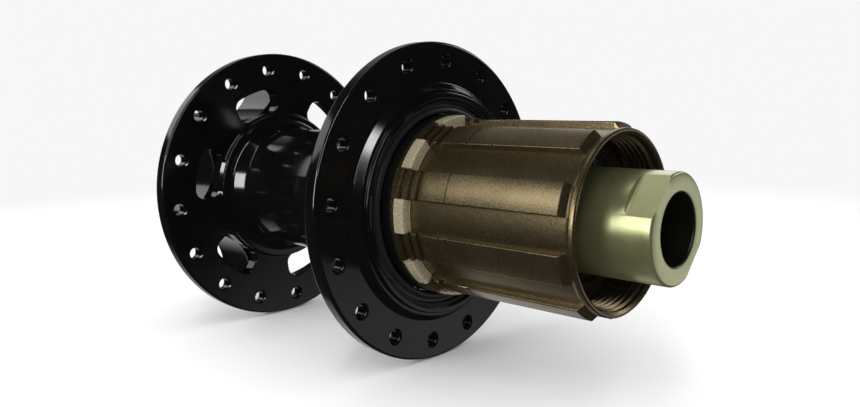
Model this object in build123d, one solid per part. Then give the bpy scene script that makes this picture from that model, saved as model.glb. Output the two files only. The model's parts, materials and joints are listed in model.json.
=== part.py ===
from build123d import *
import math
import os

# Rear bicycle hub for a 12 mm thru axle, a six-bolt disc and a splined cassette.
# Own frame, in millimetres: the axle line is the Y axis, the drive side faces -Y,
# the disc side faces +Y, +Z is up, and the origin lies midway between the two end faces.
# A "station" is a place along Y. An "angle" is measured about the axle line,
# from +Z towards -X. Outlines are lists of (radius, station) corners.

# ---- driving dimensions: the standards that the hub is built to ----
END_FACE = 71.0            # half of the 142 mm between the dropouts
BORE_R = 6.1               # clearance bore for the 12 mm thru axle
AXLE_R = 7.5               # bearing seats on the axle tube
END_CAP_R = 9.5            # the dropout recess takes a 19 mm end
FLANGE_R = 33.0
FLANGE_THICK = 3.2
SPOKE_CIRCLE_R = 29.0
SPOKE_HOLE_R = 1.3
SPOKES_PER_FLANGE = 16
SPOKE_PITCH = 360 / SPOKES_PER_FLANGE
DRIVE_FLANGE = -18.6       # station of the drive flange's outer face
DISC_FLANGE = 38.8         # station of the disc flange's outer face
TUBE_R = 14.3              # shell tube between the flanges
TUBE_BORE_R = 12.3
ROTOR_FACE = END_FACE - 18.8
ROTOR_CIRCLE_R = 22.0
ROTOR_HOLE_R = 2.5
ROTOR_BOSS_R = 4.0
ROTOR_PILOT_R = 17.45
ROTOR_BOLTS = 6
ROTOR_VALLEY_R = 18.0      # depth of the scallops between the rotor bosses
WINDOW_INNER_R = 18.4
WINDOW_OUTER_R = 24.4
WINDOW_WIDTH = 30          # degrees
CASSETTE_THREAD_R = 15.3   # lockring thread, major radius
SPLINE_TOP_R = 17.4
SPLINE_ROOT_R = 16.2
SPLINES = 9
SPLINE_PITCH = 360 / SPLINES
SPLINE_WIDTH = 19.3        # degrees
LIP_FACE = -61.4           # station of the freehub body's open end
BASE_R = 18.2              # plain stretch of the freehub body that enters the shell
BASE_START = -22.5
CARRIER_END = -10.6        # station of the freehub body's inboard end

# ---- places about the axle line, in degrees ----
DRIVE_SPOKE_ANGLE = 16.75
DISC_SPOKE_ANGLE = DRIVE_SPOKE_ANGLE - SPOKE_PITCH / 2
WINDOW_ANGLE = 17.5
ROTOR_ANGLE = WINDOW_ANGLE + 180 / ROTOR_BOLTS
SPLINE_ANGLE = 29.7
WRENCH_FLAT_ANGLE = 44.0
PAWL_ANGLE = 20.0

# ---- ratchet ----
TEETH = 36
TOOTH_PITCH = 360 / TEETH
TOOTH_TIP_R = 17.4
TOOTH_ROOT_R = 18.6
BACKLASH = 1.5             # degrees between a pawl at rest and the tooth that it drives
PAWLS = 3
CARRIER_R = 16.8
PAWL_PIVOT = (14.9, 4.2)   # radial and sideways place of a pawl's pivot
PAWL_TIP = (17.75, -3.6)   # radial and sideways place of its driving corner
PAWL_BARREL_R = 1.3
PAWL_WIDTH = 6.0
POCKET_WIDTH = 6.6
POCKET_FLOOR = 13.15       # radial place of the floor under the pawl spring
POCKET_MID = -14.6         # station of the middle of the pawl pockets

# ---- clearances ----
FIT = 0.02                 # between pieces held fast in one another
RUNNING = 0.08             # between pieces that turn on one another

# ---- cartridge bearings: bore radius, outer radius, width, ball radius, balls ----
SMALL_BEARING = (AXLE_R, 12.0, 5.0, 1.2, 16)
LARGE_BEARING = (AXLE_R, 14.0, 7.0, 1.9, 12)
FREEHUB_OUTER_BEARING = -49.4   # stations of the middles
FREEHUB_INNER_BEARING = -21.6
DRIVE_BEARING = -4.9
DISC_BEARING = 47.0
SMALL_SEAT_R = SMALL_BEARING[1] + FIT
LARGE_SEAT_R = LARGE_BEARING[1] + FIT
SMALL_HALF_SEAT = SMALL_BEARING[2] / 2 + 0.05   # from a bearing's middle to its shoulder
LARGE_HALF_SEAT = LARGE_BEARING[2] / 2 + 0.05
SHOULDER_R = 8.9                # axle shoulder and spacers, which touch inner races only


def turned(outline):
    """Full turn of an outline about the axle line."""
    return revolve(make_face(Polyline(*outline, close=True)), axis=Axis.Y)


def rounded(outline, radii):
    """Full turn of an outline whose corners are rounded, one radius for each corner."""
    return revolve(make_face(FilletPolyline(*outline, radius=radii, close=True)), axis=Axis.Y)


def sector(outline, width, angle):
    """Part turn of an outline, `width` degrees wide and centred on `angle`."""
    swept = revolve(make_face(Polyline(*outline, close=True)), axis=Axis.Y, revolution_arc=width)
    return Rot(0, -90 - angle - width / 2, 0) * swept


def tube(inner, outer, start, end):
    """Plain ring with square edges."""
    return turned([(inner, start), (outer, start), (outer, end), (inner, end)])


def plate(outline, start, end):
    """Straight solid whose outline is drawn across the axle line."""
    across = Plane(origin=(0, end, 0), x_dir=(0, 0, 1), z_dir=(0, -1, 0))
    return extrude(across * outline, amount=end - start)


def about_axle(shape, angle):
    """The shape turned about the axle line by an angle."""
    return Rot(0, -angle, 0) * shape


def ring_of(shape, count, first_angle):
    """Copies of a shape spread evenly about the axle line."""
    return [about_axle(shape, first_angle + index * 360 / count) for index in range(count)]


def polar(radius, angle):
    """Point on a drawing across the axle line."""
    return (radius * math.cos(math.radians(angle)), radius * math.sin(math.radians(angle)))


def wedge(width):
    """Slice of a circle wide enough to trim any ring of the hub, centred on the top."""
    reach = 2 * FLANGE_R
    return make_face(Polyline((0, 0), polar(reach, -width / 2), polar(reach, width / 2), close=True))


def save(name, *solids):
    """Write one node, which may be a group of equal pieces."""
    shape = solids[0] if len(solids) == 1 else Compound(list(solids))
    export_step(shape, f"parts/{name}.step")
    print(f"{name}: {len(shape.solids())} solid(s), {shape.volume:.1f} mm3")


# ---------------------------------------------------------------- hub shell

def spoke_hole_cutter(outer_face, inner_face):
    """Drill for one spoke hole with a countersink at both faces of the flange."""
    sink = 0.45
    beyond = 1.0
    low, high = sorted((outer_face, inner_face))
    outline = [
        (0, low - beyond),
        (SPOKE_HOLE_R + sink + beyond, low - beyond),
        (SPOKE_HOLE_R, low + sink),
        (SPOKE_HOLE_R, high - sink),
        (SPOKE_HOLE_R + sink + beyond, high + beyond),
        (0, high + beyond),
    ]
    return Pos(0, 0, SPOKE_CIRCLE_R) * turned(outline)


def flange_window(start, end):
    """Cutter for one kidney-shaped window in the disc flange."""
    corner_r = 2.2
    band = Circle(WINDOW_OUTER_R) - Circle(WINDOW_INNER_R)
    kidney = fillet((band & wedge(WINDOW_WIDTH)).vertices(), corner_r)
    return plate(kidney, start, end)


def rotor_star():
    """Outline of the disc mount: six round bosses joined by hollow scallops."""
    scallop_centre = 28.5
    scallop_r = scallop_centre - ROTOR_VALLEY_R
    tangent_r = 23.07    # where scallops and bosses touch
    half_pitch = 180 / ROTOR_BOLTS
    scallops = PolarLocations(scallop_centre, ROTOR_BOLTS, start_angle=half_pitch) * Circle(scallop_r)
    star = Circle(tangent_r) - scallops
    return star + PolarLocations(ROTOR_CIRCLE_R, ROTOR_BOLTS) * Circle(ROTOR_BOSS_R)


def rotor_hole_cutter():
    """Drill for one rotor bolt, with a chamfered mouth."""
    depth = 10.5
    sink = 0.5
    outline = [
        (0, ROTOR_FACE - depth - ROTOR_HOLE_R * 0.6),
        (ROTOR_HOLE_R, ROTOR_FACE - depth),
        (ROTOR_HOLE_R, ROTOR_FACE - sink),
        (ROTOR_HOLE_R + sink + 1, ROTOR_FACE + 1),
        (0, ROTOR_FACE + 1),
    ]
    return Pos(0, 0, ROTOR_CIRCLE_R) * turned(outline)


def shell_body():
    """Turned blank of the shell: drive ring, two flanges, the tube and the rotor pilot."""
    drive_inner = DRIVE_FLANGE + FLANGE_THICK
    disc_inner = DISC_FLANGE - FLANGE_THICK
    outline = [
        (20.7, -20.5),
        (21.6, -20.5),
        (21.6, -21.2),
        (22.7, -21.2),
        (22.7, -20.3),
        (23.4, -20.3),
        (24.6, DRIVE_FLANGE),
        (FLANGE_R, DRIVE_FLANGE),
        (FLANGE_R, drive_inner),
        (23.6, drive_inner),
        (22.9, -8.6),
        (16.6, -1.0),
        (TUBE_R, 8.0),
        (TUBE_R, disc_inner - 5.2),
        (16.1, disc_inner - 1.3),
        (18.1, disc_inner - 1.3),
        (18.1, disc_inner),
        (FLANGE_R, disc_inner),
        (FLANGE_R, DISC_FLANGE),
        (18.4, DISC_FLANGE),
        (17.9, DISC_FLANGE + 1.6),
        (ROTOR_PILOT_R + 0.3, ROTOR_FACE),
        (ROTOR_PILOT_R, ROTOR_FACE),
        (ROTOR_PILOT_R, ROTOR_FACE + 2.0),
        (16.1, ROTOR_FACE + 2.0),
        (16.1, ROTOR_FACE + 0.4),
        (LARGE_SEAT_R, ROTOR_FACE + 0.4),
        (LARGE_SEAT_R, DISC_BEARING - LARGE_HALF_SEAT),
        (TUBE_BORE_R, DISC_BEARING - LARGE_HALF_SEAT),
        (TUBE_BORE_R, DRIVE_BEARING + LARGE_HALF_SEAT),
        (LARGE_SEAT_R, DRIVE_BEARING + LARGE_HALF_SEAT),
        (LARGE_SEAT_R, -8.9),
        (16.4, -9.4),
        (20.7, -9.4),
    ]
    radii = [
        0, 0.15, 0.2, 0.3, 0.2, 0.3, 0.5, 0.6, 0.6, 1.6, 3.5, 6.0, 8.0, 4.0, 1.4, 0.4, 0.5, 0.6, 0.6, 0.8,
        0.8, 0, 0, 0.3, 0.2, 0, 0, 0, 0, 0, 0, 0, 0.3, 0,
    ]
    return rounded(outline, radii)


def hub_shell():
    """One-piece aluminium shell."""
    body = shell_body()
    window = flange_window(DISC_FLANGE - 6, DISC_FLANGE + 0.3)
    body -= ring_of(window, ROTOR_BOLTS, WINDOW_ANGLE)
    inside_r = ROTOR_PILOT_R - 0.85
    star = plate(rotor_star() - Circle(inside_r), DISC_FLANGE - 0.4, ROTOR_FACE)
    body += about_axle(star, ROTOR_ANGLE)
    body -= ring_of(rotor_hole_cutter(), ROTOR_BOLTS, ROTOR_ANGLE)
    drive_drill = spoke_hole_cutter(DRIVE_FLANGE, DRIVE_FLANGE + FLANGE_THICK)
    disc_drill = spoke_hole_cutter(DISC_FLANGE, DISC_FLANGE - FLANGE_THICK)
    body -= ring_of(drive_drill, SPOKES_PER_FLANGE, DRIVE_SPOKE_ANGLE)
    body -= ring_of(disc_drill, SPOKES_PER_FLANGE, DISC_SPOKE_ANGLE)
    return body


def disc_dust_cover():
    """Thin stepped cover pressed into the rotor pilot over the disc-side bearing."""
    base = ROTOR_FACE + 0.5
    outline = [
        (9.7, base),
        (16.1 - FIT, base),
        (16.1 - FIT, base + 1.1),
        (15.2, base + 1.1),
        (15.0, base + 0.7),
        (11.2, base + 0.7),
        (10.9, base + 1.0),
        (9.7, base + 1.0),
    ]
    return turned(outline)


def freehub_seal():
    """Ring with a soft lip that closes the gap between shell and freehub body."""
    outline = [
        (20.7 - FIT, -19.9),
        (20.7 - FIT, -18.2),
        (19.4, -18.2),
        (18.6, -18.9),
        (18.6, -20.3),
        (19.2, -20.7),
        (19.8, -20.3),
        (20.0, -19.9),
    ]
    return turned(outline)


# ---------------------------------------------------------------- ratchet

def tooth_space(index, phase):
    """Corners of one tooth space: a steep driving face and a long ramp."""
    start = phase + index * TOOTH_PITCH
    return [
        polar(TOOTH_TIP_R, start),
        polar(TOOTH_ROOT_R, start + 0.4),
        polar(TOOTH_ROOT_R, start + 2.2),
        polar(TOOTH_TIP_R, start + 8.6),
    ]


def ratchet_ring():
    """Hardened ring with inward teeth, screwed into the shell."""
    steep_face = PAWL_ANGLE - pawl_tip_lead() - BACKLASH
    corners = [corner for index in range(TEETH) for corner in tooth_space(index, steep_face)]
    outline = Circle(20.7 - FIT) - make_face(Polyline(*corners, close=True))
    return plate(outline, -18.1, -9.45)


def pawl_tip_lead():
    """Angle between a pawl's own centre line and its driving corner."""
    tip_radial, tip_side = PAWL_TIP
    return math.degrees(math.atan2(-tip_side, tip_radial))


def pawl():
    """One pawl: a round barrel that rocks in the carrier, and a tapering arm that meets a tooth."""
    pivot_radial, pivot_side = PAWL_PIVOT
    arm = make_face(Polyline(
        (pivot_radial + 1.1, pivot_side + 0.4),
        (16.35, 2.6),
        (16.85, 0.2),
        (17.3, -2.0),
        (17.75, -2.9),
        PAWL_TIP,
        (16.25, -3.5),
        (pivot_radial - 0.6, pivot_side - 2.2),
        (pivot_radial - 1.1, pivot_side - 0.2),
        close=True,
    ))
    outline = arm + Pos(pivot_radial, pivot_side) * Circle(PAWL_BARREL_R)
    half = PAWL_WIDTH / 2
    return plate(outline, POCKET_MID - half, POCKET_MID + half)


def pawl_pocket():
    """Cutter for the place in the carrier where one pawl rocks."""
    pivot_radial, pivot_side = PAWL_PIVOT
    seat = Pos(pivot_radial, pivot_side) * Circle(PAWL_BARREL_R + RUNNING)
    room = make_face(Polyline(
        (13.6, pivot_side - 0.9),
        (POCKET_FLOOR, pivot_side - 2.6),
        (POCKET_FLOOR, -5.2),
        (20.0, -5.2),
        (20.0, pivot_side + 1.2),
        (pivot_radial + 0.2, pivot_side + 1.2),
        close=True,
    ))
    half = POCKET_WIDTH / 2
    return plate(seat + room, POCKET_MID - half, POCKET_MID + half)


def pawl_spring():
    """Bent strip that lifts one pawl towards the teeth."""
    thick = 0.2
    seat = POCKET_FLOOR + thick / 2
    bend = [(seat, 1.6), (seat, -4.95), (seat + 0.6, -4.95), (15.35, -2.2)]
    path = FilletPolyline(*bend, radius=0.28)
    strip = make_face(offset(path, amount=thick / 2, side=Side.BOTH))
    return plate(strip, POCKET_MID - 2.0, POCKET_MID + 2.0)


# ---------------------------------------------------------------- freehub body

def spline_ridge(width, angle):
    """One cassette spline with a bevelled nose, a fine turned line and stepped rings at its root."""
    floor_r = SPLINE_ROOT_R - 0.4
    outline = [
        (floor_r, -59.8),
        (SPLINE_ROOT_R, -59.8),
        (SPLINE_TOP_R, -58.9),
        (SPLINE_TOP_R, -35.5),
        (SPLINE_TOP_R - 0.12, -35.4),
        (SPLINE_TOP_R - 0.12, -35.2),
        (SPLINE_TOP_R, -35.1),
        (SPLINE_TOP_R, -29.2),
        (16.7, -29.2),
        (16.7, -27.9),
        (17.5, -27.9),
        (17.5, -26.8),
        (16.9, -26.8),
        (16.9, -26.0),
        (17.7, -26.0),
        (17.7, -24.9),
        (17.2, -24.9),
        (17.2, -24.1),
        (18.0, -24.1),
        (18.0, BASE_START),
        (floor_r, BASE_START),
    ]
    return sector(outline, width, angle)


def stop_block(width, angle):
    """Raised block at the root of one groove, where the cassette comes to rest."""
    floor_r = SPLINE_ROOT_R - 0.4
    outline = [(floor_r, -25.7), (17.9, -25.7), (BASE_R, -25.4), (BASE_R, BASE_START), (floor_r, BASE_START)]
    return sector(outline, width, angle)


def freehub_blank():
    """Turned blank of the freehub body with its bearing seats and the pawl carrier."""
    outline = [
        (15.7, LIP_FACE),
        (16.1, LIP_FACE),
        (16.35, LIP_FACE + 0.3),
        (16.35, LIP_FACE + 1.0),
        (SPLINE_ROOT_R, LIP_FACE + 1.1),
        (SPLINE_ROOT_R, BASE_START),
        (BASE_R, BASE_START),
        (BASE_R, -18.6),
        (CARRIER_R, -18.4),
        (CARRIER_R, CARRIER_END),
        (SMALL_SEAT_R, CARRIER_END),
        (SMALL_SEAT_R, FREEHUB_INNER_BEARING - SMALL_HALF_SEAT),
        (10.9, FREEHUB_INNER_BEARING - SMALL_HALF_SEAT),
        (10.9, FREEHUB_OUTER_BEARING + SMALL_HALF_SEAT),
        (SMALL_SEAT_R, FREEHUB_OUTER_BEARING + SMALL_HALF_SEAT),
        (SMALL_SEAT_R, -52.0),
        (12.7, -52.0),
        (12.7, -52.9),
        (12.4, -52.9),
        (12.4, -53.2),
        (CASSETTE_THREAD_R, -53.2),
        (CASSETTE_THREAD_R, LIP_FACE + 0.4),
    ]
    return turned(outline)


def freehub_body():
    """Aluminium cassette carrier: nine splines, one of them wider, and three pawl pockets."""
    body = freehub_blank()
    index_spline = 6
    index_extra = 5.0
    groove_width = SPLINE_PITCH - SPLINE_WIDTH
    for number in range(SPLINES):
        angle = SPLINE_ANGLE + number * SPLINE_PITCH
        extra = index_extra if number == index_spline else 0
        body += spline_ridge(SPLINE_WIDTH + extra, angle + extra / 2)
        body += stop_block(groove_width - extra, angle + SPLINE_PITCH / 2 + extra / 2)
    return body - ring_of(pawl_pocket(), PAWLS, PAWL_ANGLE)


def freehub_snap_ring():
    """Open ring that keeps the outer bearing in the freehub body."""
    start = -52.85
    end = -52.05
    gap_angle = 200
    ring = tube(11.3, 12.65, start, end)
    gap = sector([(10, start - 1), (14, start - 1), (14, end + 1), (10, end + 1)], 24, gap_angle)
    ear = [(10.2, start), (11.6, start), (11.6, end), (10.2, end)]
    ears = [sector(ear, 9, gap_angle + side) for side in (-17, 17)]
    return ring - gap + ears


# ---------------------------------------------------------------- bearings

def race_limits(size):
    """Ball circle radius, inner race outside, outer race inside and groove radius of a bearing."""
    bore, outside, _, ball, _ = size
    middle = (bore + outside) / 2
    return middle, middle - ball * 0.62, middle + ball * 0.62, ball + RUNNING


def groove(size, station):
    """Ring that cuts the ball track into both races."""
    middle, _, _, track = race_limits(size)
    return revolve(Pos(middle, station) * Circle(track), axis=Axis.Y)


def inner_race(size, station):
    bore, _, width, _, _ = size
    _, inner_out, _, _ = race_limits(size)
    return tube(bore + FIT, inner_out, station - width / 2, station + width / 2) - groove(size, station)


def outer_race(size, station):
    _, outside, width, _, _ = size
    _, _, outer_in, _ = race_limits(size)
    return tube(outer_in, outside, station - width / 2, station + width / 2) - groove(size, station)


def balls(size, station):
    middle, _, _, _ = race_limits(size)
    return ring_of(Pos(0, station, middle) * Sphere(size[3]), size[4], 0)


def cage(size, station):
    """Moulded crown with one round pocket for each ball."""
    middle, inner_out, outer_in, _ = race_limits(size)
    ball = size[3]
    back = 0.6
    wall = (outer_in - inner_out) / 2 - 0.25
    crown = tube(middle - wall, middle + wall, station - ball * 0.5, station + ball + back)
    pocket = Pos(0, station, middle) * Cylinder(ball + RUNNING, 4 * wall)
    return crown - ring_of(pocket, size[4], 0)


def seals(size, station):
    """Pair of rubber-faced shields set into the outer race."""
    _, inner_out, outer_in, _ = race_limits(size)
    thick = 0.35
    inset = 0.15
    half = size[2] / 2
    outer = outer_in - FIT
    inner = inner_out + 0.12
    left = tube(inner, outer, station - half + inset, station - half + inset + thick)
    right = tube(inner, outer, station + half - inset - thick, station + half - inset)
    return [left, right]


def save_bearing(name, size, station):
    save(f"{name}_inner_race", inner_race(size, station))
    save(f"{name}_outer_race", outer_race(size, station))
    save(f"{name}_cage", cage(size, station))
    save(f"{name}_balls", *balls(size, station))
    save(f"{name}_seals", *seals(size, station))


# ---------------------------------------------------------------- axle group

AXLE_HALF_LENGTH = 64.0
ORING_STATION = 60.6
ORING_R = 0.6


def axle_tube():
    """Hollow aluminium axle with a thick middle that the shell bearings stand against."""
    left = DRIVE_BEARING + LARGE_HALF_SEAT
    right = DISC_BEARING - LARGE_HALF_SEAT
    outline = [
        (BORE_R, -AXLE_HALF_LENGTH),
        (AXLE_R - 0.3, -AXLE_HALF_LENGTH),
        (AXLE_R, -AXLE_HALF_LENGTH + 0.3),
        (AXLE_R, left),
        (SHOULDER_R, left),
        (SHOULDER_R, right),
        (AXLE_R, right),
        (AXLE_R, AXLE_HALF_LENGTH - 0.3),
        (AXLE_R - 0.3, AXLE_HALF_LENGTH),
        (BORE_R, AXLE_HALF_LENGTH),
    ]
    return turned(outline)


def cap_socket(start, end, side):
    """Outline points of the hollow in an end cap that takes the axle tube and its O-ring."""
    near = ORING_STATION - 0.8
    far = ORING_STATION + 0.8
    groove_r = AXLE_R + 2 * ORING_R + FIT
    points = [
        (AXLE_R + FIT, start),
        (AXLE_R + FIT, near),
        (groove_r, near),
        (groove_r, far),
        (AXLE_R + FIT, far),
        (AXLE_R + FIT, end),
        (BORE_R, end),
    ]
    return [(radius, side * station) for radius, station in points]


def drive_end_cap():
    """Push-on end cap with two wrench flats, 17 mm across."""
    flat_length = 5.1
    across_flats = 17.0
    inboard = 51.95
    chamfer = 0.25
    outline = [
        (END_CAP_R, -inboard),
        *cap_socket(inboard, AXLE_HALF_LENGTH + 0.1, -1),
        (BORE_R, -END_FACE + chamfer),
        (BORE_R + chamfer, -END_FACE),
        (END_CAP_R - chamfer, -END_FACE),
        (END_CAP_R, -END_FACE + chamfer),
    ]
    cap = turned(outline)
    wide = 4 * END_CAP_R
    for side in (0, 180):
        block = Rectangle(wide, wide)
        cutter = plate(Pos(across_flats / 2 + wide / 2, 0) * block, -END_FACE - 1, -END_FACE + flat_length)
        cap -= about_axle(cutter, WRENCH_FLAT_ANGLE + side)
    return cap


def disc_end_cap():
    """Push-on end cap with three turned ridges that hide the disc-side seal."""
    inboard = 50.55
    outline = [
        (9.3, inboard),
        (9.3, 54.9),
        (12.5, 55.3),
        (13.1, 55.9),
        (13.1, 57.2),
        (12.3, 57.7),
        (12.3, 58.6),
        (13.0, 59.1),
        (13.0, 60.3),
        (12.2, 60.8),
        (12.2, 61.7),
        (12.8, 62.2),
        (12.8, 63.3),
        (12.1, 63.7),
        (10.9, 64.3),
        (10.4, 65.2),
        (10.2, 66.4),
        (END_CAP_R, 67.0),
        (END_CAP_R, END_FACE - 0.3),
        (END_CAP_R - 0.3, END_FACE),
        (BORE_R + 0.3, END_FACE),
        (BORE_R, END_FACE - 0.3),
        *reversed(cap_socket(inboard, AXLE_HALF_LENGTH + 0.1, 1)),
    ]
    return turned(outline)


def cap_oring(side):
    """Rubber ring that holds one end cap on the axle tube."""
    centre = AXLE_R + ORING_R + FIT / 2
    return revolve(Pos(centre, side * ORING_STATION) * Circle(ORING_R), axis=Axis.Y)


def freehub_spacer():
    """Sleeve between the two freehub bearings."""
    start = FREEHUB_OUTER_BEARING + SMALL_HALF_SEAT
    end = FREEHUB_INNER_BEARING - SMALL_HALF_SEAT
    return tube(AXLE_R + FIT, SHOULDER_R, start, end)


def carrier_spacer():
    """Sleeve between the inner freehub bearing and the drive-side shell bearing."""
    start = FREEHUB_INNER_BEARING + SMALL_HALF_SEAT
    end = DRIVE_BEARING - LARGE_HALF_SEAT
    return tube(AXLE_R + FIT, SHOULDER_R, start, end)


def main():
    os.makedirs("parts", exist_ok=True)
    save("hub_shell", hub_shell())
    save("disc_dust_cover", disc_dust_cover())
    save("freehub_seal", freehub_seal())
    save("ratchet_ring", ratchet_ring())
    save("freehub_body", freehub_body())
    save("freehub_snap_ring", freehub_snap_ring())
    for number in range(PAWLS):
        angle = PAWL_ANGLE + number * 360 / PAWLS
        save(f"pawl_{number + 1}", about_axle(pawl(), angle))
        save(f"pawl_spring_{number + 1}", about_axle(pawl_spring(), angle))
    save_bearing("freehub_outer_bearing", SMALL_BEARING, FREEHUB_OUTER_BEARING)
    save_bearing("freehub_inner_bearing", SMALL_BEARING, FREEHUB_INNER_BEARING)
    save_bearing("drive_bearing", LARGE_BEARING, DRIVE_BEARING)
    save_bearing("disc_bearing", LARGE_BEARING, DISC_BEARING)
    save("axle_tube", axle_tube())
    save("freehub_spacer", freehub_spacer())
    save("carrier_spacer", carrier_spacer())
    save("drive_end_cap", drive_end_cap())
    save("disc_end_cap", disc_end_cap())
    save("drive_cap_oring", cap_oring(-1))
    save("disc_cap_oring", cap_oring(1))


main()
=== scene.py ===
# %% [markdown]
# # A rear bicycle hub, dressed around its CAD frame
#
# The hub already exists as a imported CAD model: every piece has its place and its size, and it turns on real
# joints. What it lacks is the look of a finished hub: edges that catch the light, cut threads, and the
# anodised, ground and moulded finishes of its parts. This lesson adds them one piece at a time.

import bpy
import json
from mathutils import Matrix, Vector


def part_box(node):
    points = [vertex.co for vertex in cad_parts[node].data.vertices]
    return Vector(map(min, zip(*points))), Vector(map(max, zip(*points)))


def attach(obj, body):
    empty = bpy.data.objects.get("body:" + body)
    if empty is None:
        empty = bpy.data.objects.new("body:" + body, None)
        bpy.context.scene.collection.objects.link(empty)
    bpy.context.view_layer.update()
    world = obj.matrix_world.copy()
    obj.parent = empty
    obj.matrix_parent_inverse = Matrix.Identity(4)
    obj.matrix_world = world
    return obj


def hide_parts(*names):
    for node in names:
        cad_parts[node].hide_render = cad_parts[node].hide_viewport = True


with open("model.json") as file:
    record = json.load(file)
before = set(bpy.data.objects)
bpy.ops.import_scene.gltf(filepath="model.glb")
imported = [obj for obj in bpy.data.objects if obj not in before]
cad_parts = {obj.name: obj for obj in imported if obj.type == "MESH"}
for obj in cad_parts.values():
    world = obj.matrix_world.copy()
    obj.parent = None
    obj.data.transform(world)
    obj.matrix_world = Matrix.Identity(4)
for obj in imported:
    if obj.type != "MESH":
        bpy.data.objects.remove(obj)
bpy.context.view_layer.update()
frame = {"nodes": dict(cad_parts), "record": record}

# %% [markdown]
# ## Lengths and places
#
# Blender works in metres, and a hub is drawn in millimetres, so one constant turns one into the other.
# The axle line is the Y axis. A *station* is a place along it, in millimetres, and an *angle* is measured
# about it, from straight up towards -X. Faces, outer radii and the rotor pattern are read from the frame. The
# spoke holes are written here, because their mount states no sizes.

# %% Read the driving places from the frame
import json
import math

import bmesh
import bpy
from mathutils import Matrix, Vector

MM = 0.001
ROTOR_TO_FLANGE = 13.4
SPOKE_CIRCLE_R = 29.0
SPOKES_PER_FLANGE = 16
SPOKE_HOLE_R = 1.3
SPLINE_TOP = 17.4
mounts = {mount["name"]: mount for mount in frame["record"]["mounts"]}


def station_of(mount):
    return mounts[mount]["pos_m"][1] / MM


def reach(node):
    """First station, last station and outer radius of a CAD node."""
    low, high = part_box(node)
    return low[1] / MM, high[1] / MM, high[2] / MM


drive_end, _, end_cap_r = reach("drive_end_cap")
_, disc_end, disc_cap_r = reach("disc_end_cap")
lip_face, carrier_end, base_r = reach("freehub_body")
_, _, flange_r = reach("hub_shell")
drive_flange = station_of("spoke_holes")
rotor_face = station_of("rotor_bolts")
disc_flange = rotor_face - ROTOR_TO_FLANGE
rotor_circle_r = mounts["rotor_bolts"]["dims"]["pcd_mm"] / 2
rotor_count = mounts["rotor_bolts"]["dims"]["count"]
rotor_thread_r = mounts["rotor_bolts"]["dims"]["hole_r_mm"]
pilot_r = mounts["rotor_pilot"]["dims"]["r_mm"]
bore_r = mounts["thru_axle_bore"]["dims"]["r_mm"]
print("flange faces at", drive_flange, disc_flange)
print("rotor face at", rotor_face, "flange radius", round(flange_r, 2))

# %% [markdown]
# ## Sums on sockets
#
# A material is a web of nodes, and a web is hard to read. This class wraps one socket, so that ordinary
# Python sums on values add the Math nodes, and one method adds any other kind of node.

# %% Wrap a socket
class Wire:
    """One socket of a material, with Python's operators."""

    def __init__(self, tree, socket=None):
        self.tree = tree
        self.socket = socket

    def node(self, kind, settings=None, inputs=None, out=0):
        """Add a node. Its settings are set first, then each input gets a value or a link."""
        made = self.tree.nodes.new(kind)
        for name, value in (settings or {}).items():
            if name == "stops":
                for element, (place, colour) in zip(made.color_ramp.elements, value):
                    element.position = place
                    element.color = colour
            else:
                setattr(made, name, value)
        for name, value in (inputs or {}).items():
            if isinstance(value, Wire):
                self.tree.links.new(value.socket, made.inputs[name])
            else:
                made.inputs[name].default_value = value
        return Wire(self.tree, made.outputs[out])

    def math(self, operation, first, second=0.0):
        return self.node("ShaderNodeMath", {"operation": operation}, {0: first, 1: second})

    def __add__(self, other):
        return self.math("ADD", self, other)

    def __radd__(self, other):
        return self.math("ADD", other, self)

    def __sub__(self, other):
        return self.math("SUBTRACT", self, other)

    def __rsub__(self, other):
        return self.math("SUBTRACT", other, self)

    def __mul__(self, other):
        return self.math("MULTIPLY", self, other)

    def __rmul__(self, other):
        return self.math("MULTIPLY", other, self)

    def __pow__(self, other):
        return self.math("POWER", self, other)

    def __rpow__(self, other):
        return self.math("POWER", other, self)

    def limit(self, low, high):
        """Keep a value between two numbers."""
        return self.math("MAXIMUM", self.math("MINIMUM", self, high), low)


# %% [markdown]
# ## Mesh tools
#
# Nearly every piece of a hub is turned on a lathe, so the main tool turns a closed outline about the axle
# line. A real edge is never perfectly sharp, and it is the small rounding that draws the bright lines on a
# polished part, so each corner of an outline says how far it is rounded.

# %% Soften the corners of an outline
ARC_STEPS = 5


def arc_corner(before, corner, after, radius):
    """Points of the arc that rounds one corner."""
    here = Vector(corner)
    to_before = Vector(before) - here
    to_after = Vector(after) - here
    half = to_before.angle(to_after) / 2
    if radius <= 0 or half > math.radians(88.5):
        return [tuple(here)]
    room = 0.48 * min(to_before.length, to_after.length)
    tangent = min(radius / math.tan(half), room)
    radius = tangent * math.tan(half)
    middle = (to_before.normalized() + to_after.normalized()).normalized()
    centre = here + middle * (radius / math.sin(half))
    start = here + to_before.normalized() * tangent - centre
    end = here + to_after.normalized() * tangent - centre
    turn = start.angle_signed(end)
    steps = max(2, round(ARC_STEPS * abs(turn) / (math.pi / 2)))
    return [tuple(centre + Matrix.Rotation(-turn * i / steps, 2) @ start) for i in range(steps + 1)]


def soften(corners):
    """Closed outline of (radius, station, rounding) corners, as (radius, station) points."""
    flat = [(radius, station) for radius, station, _ in corners]
    points = []
    for i, (_, _, rounding) in enumerate(corners):
        points += arc_corner(flat[i - 1], flat[i], flat[(i + 1) % len(flat)], rounding)
    return points


# %% [markdown]
# A mesh is then built from rings of points. Both ends of a ring meet, and both ends of the outline meet, so
# the surface has no open border: it is a skin round solid metal.

# %% Turn, stack and cut
SEGMENTS = 288
KEEN = math.radians(32)


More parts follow.
